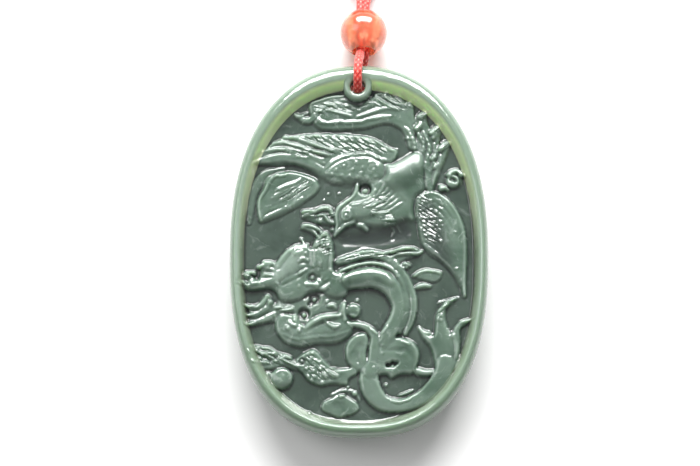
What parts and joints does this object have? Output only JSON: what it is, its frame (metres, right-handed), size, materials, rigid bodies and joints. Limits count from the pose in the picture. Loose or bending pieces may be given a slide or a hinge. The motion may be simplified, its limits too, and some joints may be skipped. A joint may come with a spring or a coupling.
{
  "type": "jade pendant",
  "caption": "Oval jade pendant with a raised rim and a carved phoenix and dragon, worn on a red braided cord through a drilled hole and a round bead; lies flat on its back.",
  "frame": {"origin": "middle of the flat of the tablet's back, which lies on the floor", "axes": "+Z out of the carved face, +Y from the middle of the tablet to the cord hole, +X to the right seen from the face"},
  "size_m": [0.042, 0.1091, 0.0096],
  "materials": {
    "jade": "waxy polish on grey-green jade",
    "agate": "glossy translucent orange-red agate",
    "red_cord": "tight round braid with a soft sheen"
  },
  "bodies": {
    "root": {"jade_tablet": "jade", "bead": "agate", "cord_front": "red_cord", "cord_back": "red_cord", "cord_coil": "red_cord", "coil_tie": "red_cord"}
  },
  "joints": []
}
